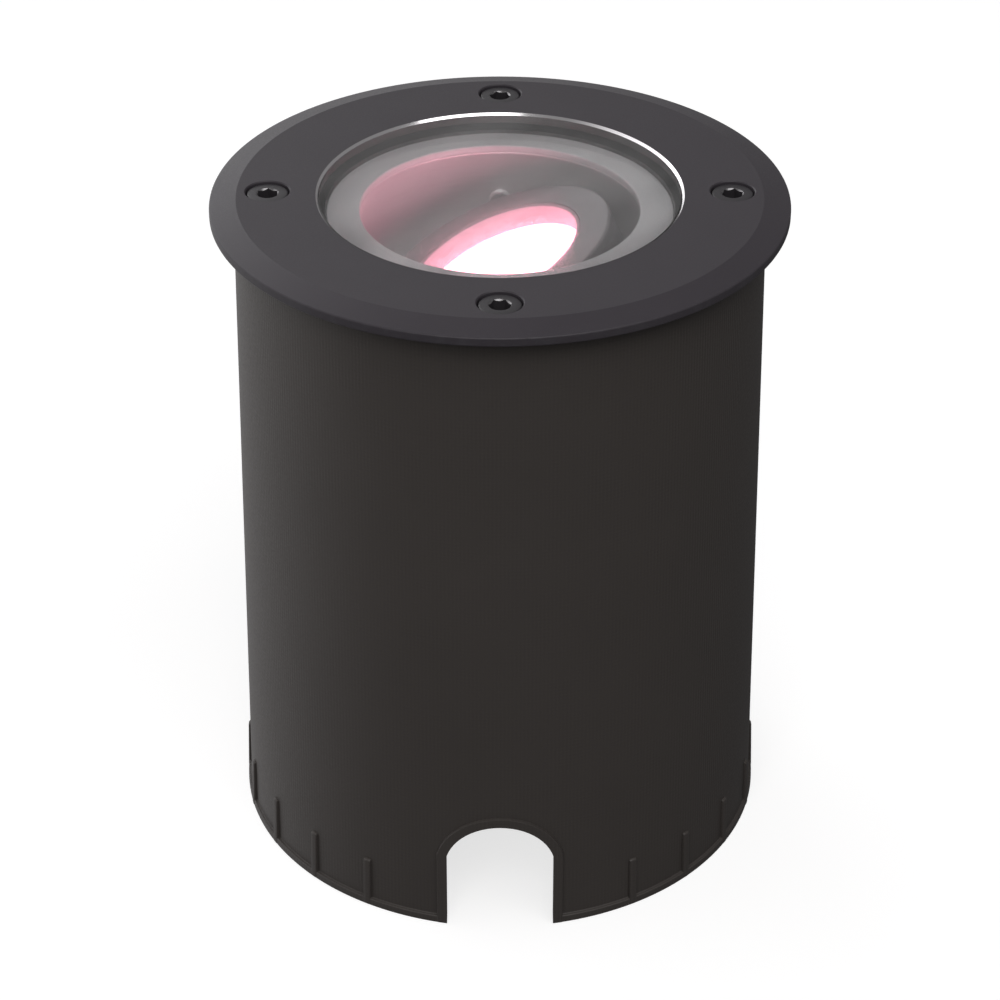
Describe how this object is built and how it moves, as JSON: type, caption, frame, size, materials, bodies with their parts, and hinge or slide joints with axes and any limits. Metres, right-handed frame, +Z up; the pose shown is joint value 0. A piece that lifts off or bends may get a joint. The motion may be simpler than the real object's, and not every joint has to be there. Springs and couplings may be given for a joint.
{
  "type": "recessed ground spotlight",
  "caption": "Round recessed outdoor spotlight with a flush thick glass, a tilting LED module and a mounting sleeve with cable slots.",
  "frame": {"origin": "centre of the mounting sleeve's foot", "axes": "+Z up along the light's axis, towards the glass; -Y is the front, where one of the two cable slots is"},
  "size_m": [0.12, 0.12, 0.148],
  "materials": {
    "sleeve_plastic": "moulded, fine grain",
    "cover_coat": "fine powder coat, anthracite",
    "cover_screw": "blackened stainless steel",
    "lens_glass": "polished faces, ground edge",
    "seal_rubber": "silicone",
    "bezel_satin": "satin silver",
    "housing_alloy": "die-cast, thin dark coat",
    "board_green": "solder mask",
    "cover_plastic": "moulded",
    "small_screw": "plain",
    "transformer_black": "varnished",
    "capacitor_can": "sleeved can",
    "terminal_plastic": "moulded",
    "gland_nylon": "moulded black nylon",
    "plug_brass": "nickel plated",
    "cup_satin": "satin grey",
    "glide_plastic": "smooth",
    "spring_steel": "plain",
    "module_satin": "satin grey",
    "well_white": "gloss white",
    "diffuser_lit": "opal, lit pink-white",
    "board_white": "white solder mask",
    "chip_phosphor": "phosphor",
    "sink_black": "black anodised"
  },
  "bodies": {
    "sleeve": {"mounting_sleeve": "sleeve_plastic"},
    "lamp": {"cover_ring": "cover_coat", "cover_screws": "cover_screw", "glass_lens": "lens_glass", "glass_upper_seal": "seal_rubber", "glass_lower_seal": "seal_rubber", "bezel_ring": "bezel_satin", "lamp_housing": "housing_alloy", "driver_board": "board_green", "driver_cover": "cover_plastic", "driver_screws": "small_screw", "driver_transformer": "transformer_black", "driver_capacitors": "capacitor_can", "terminal_block": "terminal_plastic", "terminal_screws": "small_screw", "gland_body": "gland_nylon", "gland_seal": "seal_rubber", "gland_nut": "gland_nylon", "gland_oring": "seal_rubber", "blanking_plug": "plug_brass", "plug_oring": "seal_rubber", "glide_ring": "glide_plastic", "spring_washer": "spring_steel"},
    "swivel": {"swivel_cup": "cup_satin", "cup_grommet": "seal_rubber"},
    "module": {"module_ring": "module_satin", "light_well": "well_white", "diffuser_disc": "diffuser_lit", "led_board": "board_white", "led_chips": "chip_phosphor", "heat_sink": "sink_black", "module_screws": "small_screw", "pivot_pins": "spring_steel", "friction_bushes": "gland_nylon"}
  },
  "joints": [
    {"name": "lamp_lift", "type": "slide", "parent": "sleeve", "child": "lamp", "axis": [0, 0, 1], "range_m": [0, 0.13]},
    {"name": "swivel_turn", "type": "hinge", "parent": "lamp", "child": "swivel", "pos_m": [0, 0, 0.1252], "axis": [0, 0, 1], "range_deg": [-172, 172]},
    {"name": "module_tilt", "type": "hinge", "parent": "swivel", "child": "module", "pos_m": [0, 0, 0.1252], "axis": [0, -1, 0], "range_deg": [-47.5, 2.5]}
  ]
}
